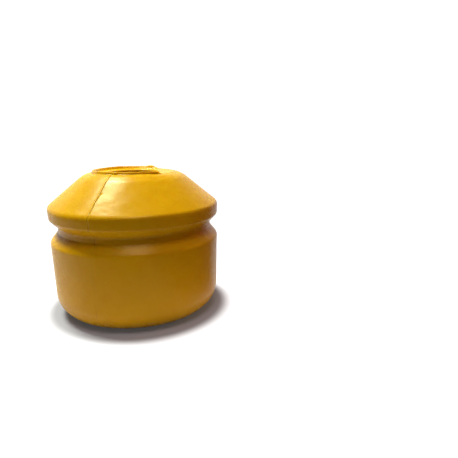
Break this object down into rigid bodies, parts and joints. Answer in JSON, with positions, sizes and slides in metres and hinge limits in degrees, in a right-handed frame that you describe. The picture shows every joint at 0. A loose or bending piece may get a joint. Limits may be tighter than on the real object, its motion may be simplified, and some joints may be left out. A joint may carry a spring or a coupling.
{
  "type": "suspension bump stop",
  "caption": "Moulded amber elastomer bump stop with a stout round base, neck groove, flange, long cone and lipped flat end, bored through to ride on a damper rod",
  "frame": {"origin": "centre of the flat seat the block stands on, on the axis of the bore", "axes": "+Z runs along the bore from the seat to the small end; the parting lines stand at -105.4 and 74.6 degrees from +X"},
  "size_m": [0.0658, 0.0658, 0.0562],
  "materials": {
    "elastomer": "satin"
  },
  "bodies": {
    "root": {"bump_stop": "elastomer"}
  },
  "joints": []
}
